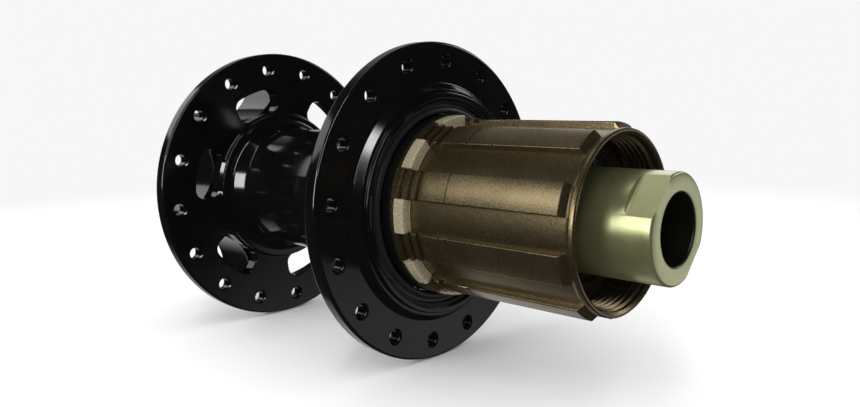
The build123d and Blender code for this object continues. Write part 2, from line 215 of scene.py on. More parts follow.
def mesh_object(name, points, faces):
    """Clean object from points in millimetres."""
    mesh = bpy.data.meshes.new(name)
    mesh.from_pydata([(x * MM, y * MM, z * MM) for x, y, z in points], [], faces)
    work = bmesh.new()
    work.from_mesh(mesh)
    bmesh.ops.remove_doubles(work, verts=work.verts, dist=0.0005 * MM)
    bmesh.ops.recalc_face_normals(work, faces=work.faces)
    work.to_mesh(mesh)
    work.free()
    made = bpy.data.objects.new(name, mesh)
    bpy.context.scene.collection.objects.link(made)
    return made


def grid_faces(rows, columns, close_rows=True):
    """Four-sided faces between neighbouring rings of points."""
    last = rows if close_rows else rows - 1
    return [
        (r * columns + c, r * columns + (c + 1) % columns,
         (r + 1) % rows * columns + (c + 1) % columns, (r + 1) % rows * columns + c)
        for r in range(last) for c in range(columns)
    ]


def polar(radius, angle):
    """(x, z) of a point at an angle about the axle line."""
    return -radius * math.sin(math.radians(angle)), radius * math.cos(math.radians(angle))


def turned(name, corners, segments=SEGMENTS, centre=(0, 0)):
    """Full turn of an outline, about the axle line or a line beside it."""
    outline = soften(corners)
    points = []
    for radius, station in outline:
        for i in range(segments):
            x, z = polar(radius, 360 * i / segments)
            points.append((x + centre[0], station, z + centre[1]))
    return mesh_object(name, points, grid_faces(len(outline), segments))


def stacked(name, levels):
    """Straight piece made of equal outlines at rising stations, closed at both ends."""
    columns = len(levels[0][1])
    points = [(x, station, z) for station, outline in levels for x, z in outline]
    faces = grid_faces(len(levels), columns, close_rows=False)
    faces.append(tuple(range(columns)))
    faces.append(tuple(range(len(points) - columns, len(points))))
    return mesh_object(name, points, faces)


def copies(name, shape, angles):
    """One object that holds a shape's copies at several angles. The shape itself is used up."""
    points = []
    faces = []
    for angle in angles:
        start = len(points)
        spin = Matrix.Rotation(math.radians(-angle), 4, "Y")
        points += [tuple(spin @ vertex.co / MM) for vertex in shape.data.vertices]
        faces += [tuple(start + i for i in polygon.vertices) for polygon in shape.data.polygons]
    bpy.data.objects.remove(shape)
    return mesh_object(name, points, faces)


def combine(piece, tool, operation):
    """Cut the tool out of the piece, or join it on, and use the tool up."""
    modifier = piece.modifiers.new("combine", "BOOLEAN")
    modifier.operation = operation
    modifier.solver = "EXACT"
    modifier.object = tool
    graph = bpy.context.evaluated_depsgraph_get()
    mesh = bpy.data.meshes.new_from_object(piece.evaluated_get(graph))
    piece.modifiers.clear()
    piece.data = mesh
    bpy.data.objects.remove(tool)


def evenly(count, first):
    return [first + 360 * i / count for i in range(count)]


def dress(piece, body, slot, *materials, replaced=()):
    """Smooth the piece between its keen edges, give it its finish and hang it on the frame."""
    piece.data.shade_smooth()
    piece.data.set_sharp_from_angle(angle=KEEN)
    weighted = piece.modifiers.new("weighted normals", "WEIGHTED_NORMAL")
    weighted.keep_sharp = True
    piece.data.materials.clear()
    for material in materials:
        piece.data.materials.append(material)
    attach(piece, body)
    if replaced:
        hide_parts(*replaced)
    print(piece.name, "has", len(piece.data.polygons), "faces")
    return piece


# %% [markdown]
# ## Finishes
#
# A finish is more than a colour. Each one below has what the real surface has: the marks of the lathe, the
# grain of bead blasting, or the skin of a moulding. All patterns are worked out from the place on the piece,
# in millimetres, so they keep their scale and turn with it.

# %% Start and close a material
def begin(name):
    """New material, and a wire to start its nodes from."""
    material = bpy.data.materials.new(name)
    material.use_nodes = True
    material.node_tree.nodes.clear()
    return material, Wire(material.node_tree)


def place_mm(start):
    """The place on the piece, in millimetres, as a vector."""
    place = start.node("ShaderNodeTexCoord", out="Object")
    return start.node("ShaderNodeVectorMath", {"operation": "SCALE"}, {0: place, "Scale": 1 / MM})


def split(vector):
    """The three numbers of a vector."""
    parts = vector.node("ShaderNodeSeparateXYZ", inputs={0: vector})
    outputs = parts.socket.node.outputs
    return [Wire(vector.tree, outputs[i]) for i in range(3)]


def noise(vector, scale, detail=2.0, roughness=0.5):
    """Cloudy value between 0 and 1."""
    return vector.node(
        "ShaderNodeTexNoise",
        inputs={"Vector": vector, "Scale": scale, "Detail": detail, "Roughness": roughness},
    )


def turned_place(start):
    """Radius and station as a vector, for marks that run round the axle line."""
    x, y, z = split(place_mm(start))
    radius = (x * x + z * z) ** 0.5
    return start.node("ShaderNodeCombineXYZ", inputs={0: radius, 1: y, 2: 0.0})


def blend_colours(start, factor, first, second):
    """Colour between two colours."""
    return start.node(
        "ShaderNodeMix", {"data_type": "RGBA"},
        {0: factor, 6: (*first, 1), 7: (*second, 1)}, out=2,
    )


def bumped(start, height, strength, distance_mm):
    return start.node("ShaderNodeBump", inputs={
        "Height": height, "Strength": strength, "Distance": distance_mm * MM,
    })


def close(material, start, sockets):
    """Principled shader and output."""
    shader = start.node("ShaderNodeBsdfPrincipled", inputs=sockets)
    output = material.node_tree.nodes.new("ShaderNodeOutputMaterial")
    material.node_tree.links.new(shader.socket, output.inputs["Surface"])
    return material


# %% [markdown]
# The shell is polished, then anodised black: dye fills a glassy oxide skin a few hundredths of a millimetre
# thick. What the eye sees is a dark body under a clear, smooth skin, so this is a plain glossy shader and not
# a metal one. The lathe leaves rings that are almost polished away, and handling leaves a faint haze.

# %% Polished black anodising
def black_anodised(name, haze, ring_depth):
    material, start = begin(name)
    rings = noise(turned_place(start), 1.6, 2.0, 0.5)
    cloud = noise(place_mm(start), 0.09, 3.0)
    specks = noise(place_mm(start), 1.5, 2.0)
    roughness = (haze + 0.06 * (cloud - 0.5) + 0.04 * (specks - 0.5)).limit(0.03, 0.6)
    colour = blend_colours(start, cloud, (0.0012, 0.0012, 0.0013), (0.0030, 0.0030, 0.0032))
    return close(material, start, {
        "Base Color": colour,
        "Roughness": roughness,
        "IOR": 1.56,
        "Normal": bumped(start, rings, ring_depth, 0.01),
    })


shell_black = black_anodised("shell_black", 0.11, 0.02)
cap_black = black_anodised("cap_black", 0.16, 0.15)
cover_black = black_anodised("cover_black", 0.32, 0.20)

# %% [markdown]
# The cassette body is blasted with fine beads and then hard anodised, which turns it bronze. The blasting
# leaves grains a tenth of a millimetre across. The tops of the splines are painted a little brighter than the
# grooves, a painted highlight for the light the raised tops catch, so the colour changes with the radius.

# %% Blasted bronze anodising
def bronze_anodised(name, top_r, dark, bright, metallic):
    material, start = begin(name)
    x, y, z = split(place_mm(start))
    radius = (x * x + z * z) ** 0.5
    grain = noise(place_mm(start), 3.2, 3.0, 0.7)
    stain = noise(place_mm(start), 0.16, 3.0, 0.5)
    # Painted highlight: spline tops above this radius are painted brighter than the grooves, as if lit.
    painted_top_highlight = ((radius - (top_r - 0.5)) * 2.0).limit(0.0, 1.0) * stain
    mixed = (0.70 * grain + 0.25 * stain + 0.25 * painted_top_highlight - 0.05).limit(0.0, 1.0)
    return close(material, start, {
        "Base Color": blend_colours(start, mixed, dark, bright),
        "Metallic": metallic,
        "Roughness": (0.29 + 0.20 * (grain - 0.5) - 0.05 * painted_top_highlight).limit(0.15, 0.7),
        "Normal": bumped(start, grain, 0.45, 0.03),
    })


cassette_bronze = bronze_anodised(
    "cassette_bronze", SPLINE_TOP, (0.060, 0.043, 0.021), (0.300, 0.240, 0.132), 0.95)
# The stop blocks get a paler, less metallic bronze: a painted highlight for the light their end faces catch.
stop_highlight_bronze = bronze_anodised("stop_highlight_bronze", SPLINE_TOP, (0.26, 0.22, 0.14), (0.56, 0.49, 0.34), 0.40)

# %% [markdown]
# The drive-side end cap is turned with a fine feed and anodised a pale olive. It is satin, not polished: its
# highlights are broad and soft, with fine rings across them.

# %% Satin olive anodising
def olive_anodised():
    material, start = begin("cap_olive")
    rings = noise(turned_place(start), 5.0, 3.0, 0.6)
    cloud = noise(place_mm(start), 0.35, 3.0)
    radius, _, _ = split(turned_place(start))
    # Painted shade: inside the bore, below a radius of 6.2 mm, the colour falls to near black, as if in
    # shadow.
    outside = ((radius - 6.2) * 2.5).limit(0.06, 1.0)
    colour = blend_colours(start, (0.7 + 0.3 * cloud) * outside, (0.0, 0.0, 0.005), (0.55, 0.565, 0.28))
    return close(material, start, {
        "Base Color": colour,
        "Metallic": 0.90,
        "Roughness": (0.30 + 0.10 * (cloud - 0.5) + 0.06 * (rings - 0.5)).limit(0.1, 0.6),
        "Coat Weight": 0.6,
        "Coat Roughness": 0.26,
        "Normal": bumped(start, rings, 0.25, 0.015),
    })


cap_olive = olive_anodised()

# %% [markdown]
# The hidden parts have their own finishes, because the hub can be opened: ground bearing steel, mirror
# balls, blued spring steel, bare turned aluminium, moulded nylon and the rubber of seals and O-rings.

# %% Bare metals
def bare_metal(name, dark, bright, roughness, ring_scale, depth):
    material, start = begin(name)
    rings = noise(turned_place(start), ring_scale, 4.0, 0.65)
    cloud = noise(place_mm(start), 0.4, 3.0)
    return close(material, start, {
        "Base Color": blend_colours(start, 0.6 * rings + 0.4 * cloud, dark, bright),
        "Metallic": 1.0,
        "Roughness": (roughness + 0.12 * (rings - 0.5)).limit(0.03, 0.8),
        "Normal": bumped(start, rings, depth, 0.01),
    })


bare_aluminium = bare_metal("bare_aluminium", (0.60, 0.60, 0.61), (0.80, 0.80, 0.81), 0.30, 4.0, 0.35)
ground_steel = bare_metal("ground_steel", (0.38, 0.38, 0.39), (0.56, 0.56, 0.57), 0.24, 6.0, 0.25)
mirror_steel = bare_metal("mirror_steel", (0.66, 0.66, 0.67), (0.74, 0.74, 0.75), 0.06, 1.0, 0.02)
blued_steel = bare_metal("blued_steel", (0.10, 0.11, 0.14), (0.24, 0.24, 0.27), 0.28, 5.0, 0.20)

# %% Rubber and nylon
def moulded(name, dark, bright, roughness, grain_scale, depth):
    material, start = begin(name)
    grain = noise(place_mm(start), grain_scale, 3.0, 0.6)
    cloud = noise(place_mm(start), 0.5, 2.0)
    return close(material, start, {
        "Base Color": blend_colours(start, cloud, dark, bright),
        "Roughness": (roughness + 0.15 * (grain - 0.5)).limit(0.1, 0.95),
        "Normal": bumped(start, grain, depth, 0.01),
    })


seal_rubber = moulded("seal_rubber", (0.006, 0.006, 0.006), (0.014, 0.014, 0.013), 0.33, 4.0, 0.15)
cage_nylon = moulded("cage_nylon", (0.62, 0.56, 0.42), (0.74, 0.68, 0.54), 0.45, 4.0, 0.20)

# %% [markdown]
# ## The hub shell
#
# The shell is one piece of aluminium. Its blank is turned, so the blank here is one closed outline turned
# about the axle line, from the stepped ring round the freehub seal, over both flanges and the waisted tube,
# to the rotor pilot, and back through the bearing seats. The milled work then follows in the order of a real
# shop: the six-armed rotor mount is joined on, and windows, spoke holes and rotor holes are cut.

# %% Turn the blank
FLANGE_THICK = 3.2
DRIVE_SPOKE_ANGLE = 16.75
DISC_SPOKE_ANGLE = DRIVE_SPOKE_ANGLE - 180 / SPOKES_PER_FLANGE
WINDOW_ANGLE = 17.5
ROTOR_ANGLE = WINDOW_ANGLE + 180 / rotor_count
drive_inner = drive_flange + FLANGE_THICK
disc_inner = disc_flange - FLANGE_THICK
seat_r = 14.02
tube_bore_r = 12.3
drive_seat_start = -8.9
drive_seat_end = -1.35
disc_seat_start = 43.45

shell = turned("hub_shell_finished", [
    (20.7, drive_flange - 1.9, 0.12),
    (21.6, drive_flange - 1.9, 0.10),
    (21.6, drive_flange - 2.6, 0.15),
    (22.7, drive_flange - 2.6, 0.30),
    (22.7, drive_flange - 1.7, 0.15),
    (23.4, drive_flange - 1.7, 0.30),
    (24.6, drive_flange, 0.50),
    (flange_r, drive_flange, 0.65),
    (flange_r, drive_inner, 0.65),
    (23.6, drive_inner, 1.6),
    (22.9, -8.6, 3.5),
    (16.6, -1.0, 6.0),
    (14.3, 8.0, 8.0),
    (14.3, disc_inner - 5.2, 4.0),
    (16.1, disc_inner - 1.3, 1.4),
    (18.1, disc_inner - 1.3, 0.40),
    (18.1, disc_inner, 0.50),
    (flange_r, disc_inner, 0.65),
    (flange_r, disc_flange, 0.65),
    (18.4, disc_flange, 0.70),
    (17.9, disc_flange + 1.6, 0.80),
    (pilot_r + 0.3, rotor_face - 0.05, 0.0),
    (pilot_r, rotor_face - 0.05, 0.0),
    (pilot_r, rotor_face + 2.0, 0.30),
    (16.1, rotor_face + 2.0, 0.20),
    (16.1, rotor_face + 0.4, 0.0),
    (seat_r, rotor_face + 0.4, 0.15),
    (seat_r, disc_seat_start, 0.0),
    (tube_bore_r, disc_seat_start, 0.20),
    (tube_bore_r, drive_seat_end, 0.20),
    (seat_r, drive_seat_end, 0.0),
    (seat_r, drive_seat_start, 0.15),
    (16.4, -9.4, 0.30),
    (20.7, -9.4, 0.0),
])

# %% [markdown]
# The rotor mount is six round bosses joined by hollow scallops. A boss circle and a scallop circle touch
# without a corner, and that fixes where the scallop's centre must lie. Because the outline is made only of
# arcs, shrinking it for the chamfer on top means changing the radii, with no other work.

# %% Join the rotor mount
BOSS_R = 4.0
VALLEY_R = 18.0
half_pitch = math.pi / rotor_count
valley_gap = VALLEY_R - BOSS_R
spare = rotor_circle_r * math.cos(half_pitch) - valley_gap
scallop_centre = (rotor_circle_r ** 2 - valley_gap ** 2) / (2 * spare)
scallop_r = scallop_centre - VALLEY_R
touch = math.atan2(
    scallop_centre * math.sin(half_pitch),
    scallop_centre * math.cos(half_pitch) - rotor_circle_r,
)
print("scallops of radius", round(scallop_r, 2), "centred at", round(scallop_centre, 2))


def arc(centre_r, centre_angle, radius, start, end, steps):
    """Points of an arc about a centre at an angle about the axle line. All angles are in degrees."""
    points = []
    cx, cz = polar(centre_r, centre_angle)
    for i in range(steps):
        x, z = polar(radius, centre_angle + start + (end - start) * i / steps)
        points.append((cx + x, cz + z))
    return points


def star_outline(inset):
    """Outline of the rotor mount, shrunk by an inset."""
    boss_turn = math.degrees(touch)
    pitch = 360 / rotor_count
    half_turn = boss_turn - pitch / 2
    points = []
    for i in range(rotor_count):
        angle = ROTOR_ANGLE + i * pitch
        points += arc(rotor_circle_r, angle, BOSS_R - inset, -boss_turn, boss_turn, 26)
        points += arc(
            scallop_centre, angle + pitch / 2, scallop_r + inset, 180 + half_turn, 180 - half_turn, 18)
    return points


FOOT_RISE = 1.2
FOOT_SPREAD = 0.9
quarter = [math.radians(90 * i / 5) for i in range(6)]
foot = [(disc_flange + FOOT_RISE * (1 - math.cos(t)), -FOOT_SPREAD * (1 - math.sin(t))) for t in quarter]
levels = [(disc_flange - 0.5, star_outline(-FOOT_SPREAD))]
levels += [(station, star_outline(inset)) for station, inset in foot]
levels += [(rotor_face - 0.35, star_outline(0.0)), (rotor_face, star_outline(0.35))]
star = stacked("rotor_mount", levels)
combine(shell, star, "UNION")

# %% [markdown]
# All cutters of one kind are copies about the axle line, so they are joined into one object and cut in one
# go. A drill is an outline too: its point, its shank and the countersink that breaks the edge of the hole.

# %% Cut windows and holes
def drill(name, corners, circle_r, angles, segments=28):
    """Drills of one shape at several angles, all parallel to the axle line."""
    one = turned(name, corners, segments, centre=polar(circle_r, 0))
    return copies(name, one, angles)


def spoke_drill(name, low, high, first_angle):
    sink = 0.45
    beyond = 1.0
    corners = [
        (0, low - beyond, 0),
        (SPOKE_HOLE_R + sink + beyond, low - beyond, 0),
        (SPOKE_HOLE_R, low + sink, 0.5),
        (SPOKE_HOLE_R, high - sink, 0.5),
        (SPOKE_HOLE_R + sink + beyond, high + beyond, 0),
        (0, high + beyond, 0),
    ]
    return drill(name, corners, SPOKE_CIRCLE_R, evenly(SPOKES_PER_FLANGE, first_angle))


def kidney(inner, outer, half_angle, rounding, grow=0.0):
    """Kidney-shaped outline centred on the top, its corners rounded."""
    points = []
    side = half_angle - math.degrees(rounding / ((inner + outer) / 2))
    corners = (
        (outer - rounding, 1, 0), (inner + rounding, 1, 90),
        (inner + rounding, -1, 180), (outer - rounding, -1, 270),
    )
    for centre_r, sign, start in corners:
        points += arc(centre_r, sign * side, rounding + grow, start, start + 90, 7)
        cx, cz = polar(centre_r, sign * side)
        x, z = polar(rounding + grow, sign * side + start + 90)
        points.append((cx + x, cz + z))
        if start in (90, 270):
            radius = inner - grow if start == 90 else outer + grow
            points += [polar(radius, sign * side * (1 - 2 * i / 9)) for i in range(1, 9)]
    return points


def window_cutter():
    """Six kidney windows with both edges broken."""
    inner, outer, half_angle, rounding = 18.5, 24.4, 15.5, 2.2
    edge = 0.35
    beyond = 0.6
    wide = kidney(inner, outer, half_angle, rounding, grow=edge + beyond)
    narrow = kidney(inner, outer, half_angle, rounding)
    one = stacked("window", [
        (disc_inner - beyond, wide), (disc_inner + edge, narrow),
        (disc_flange - edge, narrow), (disc_flange + beyond, wide),
    ])
    return copies("windows", one, evenly(rotor_count, WINDOW_ANGLE))


rotor_hole = [
    (0, rotor_face - 12.0, 0),
    (rotor_thread_r, rotor_face - 10.5, 0),
    (rotor_thread_r, rotor_face - 0.5, 0),
    (rotor_thread_r + 1.5, rotor_face + 1.0, 0),
    (0, rotor_face + 1.0, 0),
]
combine(shell, window_cutter(), "DIFFERENCE")
combine(shell, spoke_drill("drive_drills", drive_flange, drive_inner, DRIVE_SPOKE_ANGLE), "DIFFERENCE")
combine(shell, spoke_drill("disc_drills", disc_inner, disc_flange, DISC_SPOKE_ANGLE), "DIFFERENCE")
rotor_drills = drill("rotor_drills", rotor_hole, rotor_circle_r, evenly(rotor_count, ROTOR_ANGLE), 40)
combine(shell, rotor_drills, "DIFFERENCE")
dress(shell, "shell", "black_anodised", shell_black, replaced=["hub_shell"])

# %% [markdown]
# ## Threads
#
# A thread is a ridge that winds along a bore. The bores in the frame are cut to the thread's full depth, so
# the ridge stands inward from the wall. It is swept along a helix with a four-sided section, and its ends
# sink into the wall as a tap leaves them.

# %% Wind a thread
def inner_thread(name, wall_r, depth, pitch, start, end, centre=(0, 0), segments=96):
    """Ridge wound inside a bore, from one station to another."""
    turns = abs(end - start) / pitch
    steps = int(turns * segments)
    points = []
    for i in range(steps + 1):
        along = i / steps
        station = start + (end - start) * along
        height = depth * min(1.0, along * turns * 1.5, (1 - along) * turns * 1.5)
        x, z = polar(1.0, 360 * turns * along)
        for radius, offset in (
            (wall_r + 0.06, -0.46), (wall_r - height, -0.10), (wall_r - height, 0.10), (wall_r + 0.06, 0.46),
        ):
            points.append((x * radius + centre[0], station + offset * pitch, z * radius + centre[1]))
    faces = [(i * 4 + a, i * 4 + (a + 1) % 4, i * 4 + 4 + (a + 1) % 4, i * 4 + 4 + a)
             for i in range(steps) for a in range(4)]
    faces.append((0, 1, 2, 3))
    faces.append(tuple(steps * 4 + a for a in (3, 2, 1, 0)))
    return mesh_object(name, points, faces)


one_thread = inner_thread(
    "rotor_thread", rotor_thread_r, 0.42, 0.8, rotor_face - 9.6, rotor_face - 0.9,
    centre=polar(rotor_circle_r, 0), segments=32,
)
rotor_threads = copies("rotor_threads", one_thread, evenly(rotor_count, ROTOR_ANGLE))
dress(rotor_threads, "shell", "black_anodised", shell_black)

# %% [markdown]
# ## The freehub body
#
# The cassette slides onto nine splines. In section the body has two outlines that take turns about the axle
# line: one through the grooves and one through the splines. Both are written as steps along the axle line,
# and a surface is stretched over them, with a narrow column of faces at each side of a spline for its wall
# and its broken edge.

# %% Pair the two outlines
SPLINES = 9
SPLINE_ROOT = 16.2
SPLINE_WIDTH = 19.3
SPLINE_ANGLE = 29.7
INDEX_SPLINE = 6
INDEX_EXTRA = 5.0
base_start = -22.5


def land(start, end, radius, edge=0.09):
    """A raised stretch with broken edges."""
    return [(start, radius - edge), (start + edge, radius), (end - edge, radius), (end, radius - edge)]


groove_line = [
    (lip_face + 1.1, SPLINE_ROOT), (-25.8, SPLINE_ROOT), (-25.7, SPLINE_ROOT + 0.1), (-25.7, 17.95),
    (-25.45, base_r), (base_start - 0.9, base_r), (base_start, base_r),
]
spline_line = [
    (lip_face + 1.1, SPLINE_ROOT), (-59.8, SPLINE_ROOT), (-59.72, SPLINE_ROOT + 0.15), (-59.0, 17.3),
    (-58.85, SPLINE_TOP), (-35.55, SPLINE_TOP), (-35.45, 17.26), (-35.2, 17.26), (-35.1, SPLINE_TOP),
    (-29.3, SPLINE_TOP), (-29.2, 17.3), (-29.2, 16.7),
    (-27.9, 16.7), *land(-27.9, -26.8, 17.5), (-26.8, 16.9),
    (-26.0, 16.9), *land(-26.0, -24.9, 17.7), (-24.9, 17.2),
    (-24.1, 17.2), *land(-24.1, -22.6, 18.1), (base_start, 18.0), (base_start, base_r),
]


def heights_at(line, station):
    """Radius of a stepped line just before and just after a station."""
    here = [radius for place, radius in line if abs(place - station) < 1e-6]
    if here:
        return here[0], here[-1]
    before = max((point for point in line if point[0] < station), key=lambda point: point[0])
    before = [point for point in line if point[0] == before[0]][-1]
    after = next(point for point in line if point[0] > station)
    share = (station - before[0]) / (after[0] - before[0])
    radius = before[1] + share * (after[1] - before[1])
    return radius, radius


def pair_up(groove, spline):
    """Rows of (station, groove radius, spline radius) that hold every corner of both lines."""
    rows = []
    for station in sorted({round(place, 4) for place, _ in groove + spline}):
        groove_before, groove_after = heights_at(groove, station)
        spline_before, spline_after = heights_at(spline, station)
        rows.append((station, groove_before, spline_before))
        middle = [radius for place, radius in spline if abs(place - station) < 1e-6][1:-1]
        rows += [(station, groove_before, radius) for radius in middle]
        if (groove_after, spline_after) != (groove_before, spline_before):
            rows.append((station, groove_after, spline_after))
    return rows


outer_rows = pair_up(groove_line, spline_line)
print(len(outer_rows), "rows over the splines")

# %% Stretch the body over the outlines
thread_r = 15.3
bearing_seat_r = 12.02
carrier_r = 16.8
waist_r = 10.9


def plain(*pairs):
    """Rows that are the same all the way round."""
    return [(station, radius, radius) for radius, station in pairs]


lip_rows = plain(
    (thread_r, lip_face + 0.5), (15.75, lip_face + 0.05), (15.85, lip_face), (16.1, lip_face),
    (16.32, lip_face + 0.22), (16.35, lip_face + 0.35), (16.35, lip_face + 0.9), (16.25, lip_face + 1.0),
)
inner_rows = plain(
    (base_r, -18.75), (base_r - 0.15, -18.6), (carrier_r + 0.1, -18.5), (carrier_r, -18.4),
    (carrier_r, carrier_end - 0.3), (carrier_r - 0.3, carrier_end), (bearing_seat_r + 0.3, carrier_end),
    (bearing_seat_r, carrier_end - 0.3), (bearing_seat_r, -24.15), (waist_r, -24.15), (waist_r, -46.85),
    (bearing_seat_r, -46.85), (bearing_seat_r, -52.0), (12.7, -52.0), (12.7, -52.9), (12.4, -52.9),
    (12.4, -53.2), (thread_r - 0.2, -53.2), (thread_r, -53.0),
)


def spline_columns():
    """(angle, share of the spline) all the way round, in rising order."""
    foot = 0.10
    edge = 0.85
    bend = [(edge * (1 - math.cos(t)), 1 - 0.22 * (1 - math.sin(t))) for t in
            [math.radians(15 * i) for i in range(7)]]
    columns = []
    for number in range(SPLINES):
        extra = INDEX_EXTRA if number == INDEX_SPLINE else 0.0
        start = SPLINE_ANGLE + number * 360 / SPLINES - SPLINE_WIDTH / 2
        end = start + SPLINE_WIDTH + extra
        following = start + 360 / SPLINES
        columns.append((start - foot / 2, 0.0))
        columns += [(start + foot / 2 + turn, share) for turn, share in bend]
        inside = end - start - foot - 2 * edge
        columns += [(start + foot / 2 + edge + inside * i / 12, 1.0) for i in range(1, 12)]
        columns += [(end - foot / 2 - turn, share) for turn, share in reversed(bend)]
        columns.append((end + foot / 2, 0.0))
        columns += [(end + foot / 2 + (following - end - foot) * i / 12, 0.0) for i in range(1, 12)]
    return columns


def freehub_mesh():
    columns = spline_columns()
    rows = lip_rows + outer_rows + inner_rows
    points = []
    for station, groove_r, spline_r in rows:
        for angle, share in columns:
            x, z = polar(groove_r + (spline_r - groove_r) * share, angle)
            points.append((x, station, z))
    return mesh_object("freehub_body_finished", points, grid_faces(len(rows), len(columns)))


freehub = freehub_mesh()

# %% [markdown]
# Three pockets in the inboard end hold the pawls. Each has a round seat for the pawl's barrel and a room for
# its arm and spring, and is cut clean through the carrier's outside.

# %% Cut the pawl pockets
PAWLS = 3
PAWL_ANGLE = 20.0
pivot_radial, pivot_side = 14.9, 4.2


def flat_shape(points, angle):
    """Turn (radial, sideways) points drawn at the top into (x, z) points at an angle."""
    turn = math.radians(angle)
    return [
        (-side * math.cos(turn) - radial * math.sin(turn), radial * math.cos(turn) - side * math.sin(turn))
        for radial, side in points
    ]


def pocket_cutters():
    """Cutters for one pocket: the room of the arm and the round seat of the barrel."""
    room_to_spare = 0.3
    seat_r = 1.38
    pawl_start, pawl_end, _ = reach("pawl_1")
    start = pawl_start - room_to_spare
    end = pawl_end + room_to_spare
    room = [
        (13.6, pivot_side - 0.9), (13.15, pivot_side - 2.6), (13.15, -5.2),
        (20.0, -5.2), (20.0, pivot_side + 1.2), (pivot_radial + 0.2, pivot_side + 1.2),
    ]
    seat = [
        (pivot_radial + seat_r * math.cos(t), pivot_side + seat_r * math.sin(t))
        for t in [2 * math.pi * i / 40 for i in range(40)]
    ]
    return [
        stacked("pocket", [(start, flat_shape(shape, 0)), (end, flat_shape(shape, 0))])
        for shape in (room, seat)
    ]


for cutter in pocket_cutters():
    combine(freehub, copies("pockets", cutter, evenly(PAWLS, PAWL_ANGLE)), "DIFFERENCE")
dress(freehub, "freehub", "bronze_anodised", cassette_bronze, replaced=["freehub_body"])


def outer_bands(piece, stops, painted_shade_band):
    """Paint the stop blocks at the root of the grooves pale, a painted highlight, and the band that runs
    under the seal black, a painted shade.
    """
    piece.data.materials.append(stops)
    piece.data.materials.append(painted_shade_band)
    for polygon in piece.data.polygons:
        x, y, z = polygon.center / MM
        radius = math.hypot(x, z)
        turn = (math.degrees(math.atan2(-x, z)) - SPLINE_ANGLE + SPLINE_WIDTH / 2) % 360
        number, within = divmod(turn, 360 / SPLINES)
        width = SPLINE_WIDTH + (INDEX_EXTRA if number == INDEX_SPLINE else 0)
        # Stop blocks in the grooves take the pale bronze, a painted highlight.
        if within > width and -25.8 < y < base_start - 0.9 and radius > SPLINE_ROOT:
            polygon.material_index = 1
        # The band under the seal takes the black finish: painted shade for the shadow between the seal and
        # the splines.
        if y > base_start and radius > carrier_r + 0.2:
            polygon.material_index = 2


outer_bands(freehub, stop_highlight_bronze, cover_black)

LOCKRING_PITCH = 25.4 / 24
lockring_thread = inner_thread(
    "lockring_thread", thread_r, 0.5, LOCKRING_PITCH, lip_face + 1.0, -53.9, segments=160)
dress(lockring_thread, "freehub", "bronze_anodised", cassette_bronze)

# %% [markdown]
# ## End caps
#
# Both end caps are sleeves that push onto the axle tube and are held there by an O-ring. The drive-side cap
# is a plain olive tube with two flats for a wrench, so it can be held while the axle is drawn tight.

# %% Turn the drive-side end cap
axle_r = 7.52
groove_r = 8.72
WRENCH_ANGLE = 44.0
ACROSS_FLATS = 17.0
FLAT_LENGTH = 5.1
cap_seat = -51.95

drive_cap = turned("drive_end_cap_finished", [
    (end_cap_r, drive_end, 0.45),
    (end_cap_r, drive_end + FLAT_LENGTH + 0.7, 0.0),
    (end_cap_r, cap_seat, 0.25),
    (axle_r, cap_seat, 0.25),
    (axle_r, -59.8, 0.0),
    (groove_r, -59.8, 0.0),
    (groove_r, -61.4, 0.0),
    (axle_r, -61.4, 0.0),
    (axle_r, -64.1, 0.0),
    (bore_r, -64.1, 0.0),
    (bore_r, drive_end, 0.40),
])


def flat_cutters():
    """Two blocks, each with a rounded inboard end where the milling cutter stopped."""
    depth = ACROSS_FLATS / 2
    half = 9.0
    flat_end = drive_end + FLAT_LENGTH
    steps = ((drive_end - 1, 0), (flat_end - 0.5, 0), (flat_end - 0.15, 0.15), (flat_end, 0.5))
    cutters = []
    for side in (0, 180):
        levels = []
        for station, rise in steps:
            corners = [(depth + rise, -half), (depth + rise, half), (depth + 4, half), (depth + 4, -half)]
            levels.append((station, flat_shape(corners, WRENCH_ANGLE + side)))
        cutters.append(stacked("flat", levels))
    return cutters


for cutter in flat_cutters():
    combine(drive_cap, cutter, "DIFFERENCE")
dress(drive_cap, "axle", "olive_anodised", cap_olive, replaced=["drive_end_cap"])

# %% [markdown]
# The rotor-side cap has a stack of rounded rings, a neck and a plain spigot that seats in the frame. It is
# all turned, so every edge here is one corner of its outline.

# %% Turn the rotor-side end cap
disc_cap = turned("disc_end_cap_finished", [
    (9.3, 50.55, 0.2),
    (9.3, 54.9, 0.3),
    (12.5, 55.3, 0.3),
    (13.1, 55.9, 0.3),
    (13.1, 57.2, 0.4),
    (12.3, 57.7, 0.3),
    (12.3, 58.6, 0.3),
    (13.0, 59.1, 0.35),
    (13.0, 60.3, 0.4),
    (12.2, 60.8, 0.3),
    (12.2, 61.7, 0.3),
    (12.8, 62.2, 0.35),
    (12.8, 63.3, 0.4),
    (12.1, 63.7, 0.3),
    (10.9, 64.3, 0.3),
    (10.4, 65.2, 0.4),
    (10.2, 66.4, 0.4),
    (9.5, 67.0, 0.4),
    (9.5, disc_end, 0.35),
    (bore_r, disc_end, 0.35),
    (bore_r, 64.1, 0.0),
    (axle_r, 64.1, 0.0),
    (axle_r, 61.4, 0.0),
    (groove_r, 61.4, 0.0),
    (groove_r, 59.8, 0.0),
    (axle_r, 59.8, 0.0),
    (axle_r, 50.55, 0.25),
])
dress(disc_cap, "axle", "black_cap", cap_black, replaced=["disc_end_cap"])

# %% [markdown]
# A dust cover presses into the rotor side, and a lipped rubber seal closes the gap behind the cassette body.
# The seal is soft, so it has no keen edges at all.

# %% Turn the cover and the seal
cover = turned("disc_dust_cover_finished", [
    (9.7, 52.7, 0.1),
    (16.08, 52.7, 0.1),
    (16.08, 53.8, 0.25),
    (15.2, 53.8, 0.2),
    (15.0, 53.4, 0.15),
    (11.2, 53.4, 0.15),
    (10.9, 53.7, 0.15),
    (9.7, 53.7, 0.2),
])
dress(cover, "shell", "dark_cover", cover_black, replaced=["disc_dust_cover"])

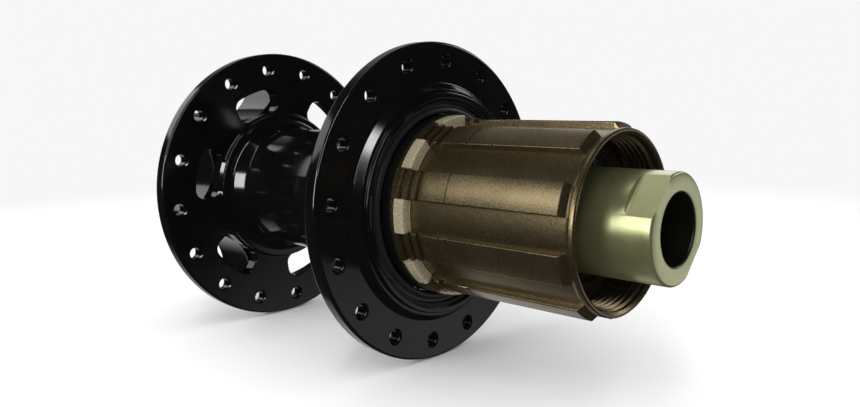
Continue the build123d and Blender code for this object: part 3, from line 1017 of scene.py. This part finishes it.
seal = turned("freehub_seal_finished", [
    (20.68, -19.9, 0.1),
    (20.68, -18.2, 0.1),
    (19.4, -18.2, 0.2),
    (18.6, -18.9, 0.3),
    (18.6, -20.3, 0.3),
    (19.2, -20.7, 0.5),
    (19.8, -20.3, 0.3),
    (20.0, -19.9, 0.2),
])
dress(seal, "shell", "seal_rubber", seal_rubber, replaced=["freehub_seal"])

# %% [markdown]
# ## Everything inside
#
# Axle tube, spacers, bearings, ratchet, pawls and springs keep their CAD shapes, which are already right.
# They only need finishes, chosen from the last words of their names.

# %% Finish the inner parts
FINISHES = [
    ("_balls", mirror_steel),
    ("_cage", cage_nylon),
    ("_seals", seal_rubber),
    ("_oring", seal_rubber),
    ("_race", ground_steel),
    ("ratchet_ring", ground_steel),
    ("snap_ring", blued_steel),
    ("pawl_spring", blued_steel),
    ("pawl", ground_steel),
    ("axle_tube", bare_aluminium),
    ("spacer", bare_aluminium),
    ("hub_shell", shell_black),
    ("freehub_body", cassette_bronze),
    ("drive_end_cap", cap_olive),
    ("disc_end_cap", cap_black),
    ("dust_cover", cover_black),
    ("freehub_seal", seal_rubber),
]
for name, node in frame["nodes"].items():
    finish = next(material for words, material in FINISHES if words in name)
    node.data.materials.clear()
    node.data.materials.append(finish)
print("finished", len(frame["nodes"]), "CAD parts")

# %% [markdown]
# ## Studio
#
# Gloss black shows nothing of its own: it shows the room. So the room is mostly dark for reflections, with a
# few large soft lights whose mirror images draw the edges. The pale floor and backdrop are seen directly but
# kept out of glossy reflections, as black flags beside a white table would do. Round glows in the mirrored
# sky light the front faces, and the sides and the back when the hub is seen from there.

# %% Floor and world
def shade_stage(fade_end):
    """White paper that fades into the backdrop, and is dim in mirror images."""
    material, start = begin("floor_paper")
    x, y, z = split(place_mm(start))
    out = (x * x + y * y) ** 0.5
    fibres = noise(place_mm(start), 0.02, 2.0)
    return close(material, start, {
        "Base Color": blend_colours(start, fibres, (0.93, 0.93, 0.93), (0.96, 0.96, 0.96)),
        "Roughness": 0.9,
        "Specular IOR Level": 0.05,
        "Alpha": ((fade_end - out) * (1.6 / fade_end)).limit(0.0, 1.0),
    })


FLOOR_SIZE = 2.0
FLOOR_FADE = 330.0
floor = mesh_object("floor", [
    (x * FLOOR_SIZE / 2 / MM, y * FLOOR_SIZE / 2 / MM, -flange_r - 0.02)
    for x, y in ((-1, -1), (1, -1), (1, 1), (-1, 1))
], [(0, 1, 2, 3)])
floor.data.materials.append(shade_stage(FLOOR_FADE))
floor.visible_glossy = False
floor.visible_shadow = False

world = bpy.data.worlds.new("studio")
bpy.context.scene.world = world
world.use_nodes = True
world.node_tree.nodes.clear()
sky = Wire(world.node_tree)
path = sky.node("ShaderNodeLightPath")
outputs = path.socket.node.outputs
is_camera = Wire(sky.tree, outputs["Is Camera Ray"])
is_glossy = Wire(sky.tree, outputs["Is Glossy Ray"])
direction = sky.node("ShaderNodeTexCoord", out="Generated")


def soft_card(towards, edge, brightness):
    """Round glow in the sky with a soft border. The edge is the cosine at which it has faded out."""
    settings = {"operation": "DOT_PRODUCT"}
    nearness = sky.node("ShaderNodeVectorMath", settings, {0: direction, 1: towards}, out=1)
    return ((nearness - edge) * (1.4 / (1.0 - edge))).limit(0.0, 1.0) * brightness


front_glow = soft_card((0.620, -0.650, -0.440), 0.945, 0.36)
far_glow = soft_card((0.740, 0.570, 0.360), 0.70, 0.30)
rotor_glow = soft_card((0.356, 0.864, -0.356), 0.80, 0.60)
mirrored = front_glow + far_glow + rotor_glow + 0.012
BACKDROP = 0.93
FILL = 0.92
unseen = FILL * (1.0 - is_glossy) + mirrored * is_glossy
strength = is_camera * BACKDROP + (1.0 - is_camera) * unseen
background = sky.node("ShaderNodeBackground", inputs={"Color": (1, 1, 1, 1), "Strength": strength})
world_output = world.node_tree.nodes.new("ShaderNodeOutputWorld")
world.node_tree.links.new(background.socket, world_output.inputs["Surface"])

# %% Soft lights
MIDDLE = Vector((0, -0.04, 0))


def soft_light(name, direction, distance, width, height, brightness):
    """Area light in a direction from the hub, facing it. Brightness is that of white paper in full light."""
    data = bpy.data.lights.new(name, "AREA")
    data.shape = "RECTANGLE"
    data.size = width
    data.size_y = height
    data.energy = brightness * math.pi * width * height
    lamp = bpy.data.objects.new(name, data)
    lamp.location = MIDDLE + Vector(direction).normalized() * distance
    lamp.rotation_euler = (MIDDLE - lamp.location).to_track_quat("-Z", "Y").to_euler()
    lamp.visible_camera = False
    bpy.context.scene.collection.objects.link(lamp)
    return lamp


soft_light("main_box", (-0.750, 0.530, 0.42), 0.85, 0.20, 0.24, 3.5)
soft_light("side_box", (-0.94, 0.24, 0.18), 0.85, 0.22, 0.30, 12.0)
soft_light("overhead", (-0.05, 0.36, 0.93), 0.85, 0.40, 0.14, 1.2)
soft_light("arc_strip", (-0.66, -0.37, 0.67), 0.85, 0.06, 0.80, 16.0)
soft_light("cap_card", (0.89, -0.42, -0.22), 0.85, 0.22, 0.30, 0.9)
soft_light("thread_card", (0.84, -0.40, 0.36), 0.85, 0.20, 0.20, 4.0)
soft_light("under_card", (0.20, 0.57, -0.75), 0.85, 0.80, 0.30, 0.25)
soft_light("far_box", (0.80, 0.45, 0.45), 0.85, 0.30, 0.50, 1.0)
soft_light("rotor_box", (-0.25, 0.85, 0.45), 0.85, 0.50, 0.25, 1.5)

# %% [markdown]
# ## Camera
#
# The camera looks at the drive side from the left and a little above.

# %% Place the camera
camera_data = bpy.data.cameras.new("camera")
camera_data.sensor_width = 36.0
camera_data.lens = 32.2
camera_data.clip_start = 0.01
camera = bpy.data.objects.new("camera", camera_data)
bpy.context.scene.collection.objects.link(camera)
place = Vector((-117.0, -125.55, 23.2)) * MM
forward = Vector((0.7216, 0.6768, -0.1456))
level = forward.to_track_quat("-Z", "Y").to_matrix().to_4x4()
tilt = Matrix.Rotation(math.radians(-1.16), 4, "Z")
camera.matrix_world = Matrix.Translation(place) @ level @ tilt
bpy.context.scene.camera = camera
bpy.context.scene.view_settings.view_transform = "Standard"
print("camera at", [round(v / MM, 1) for v in place])
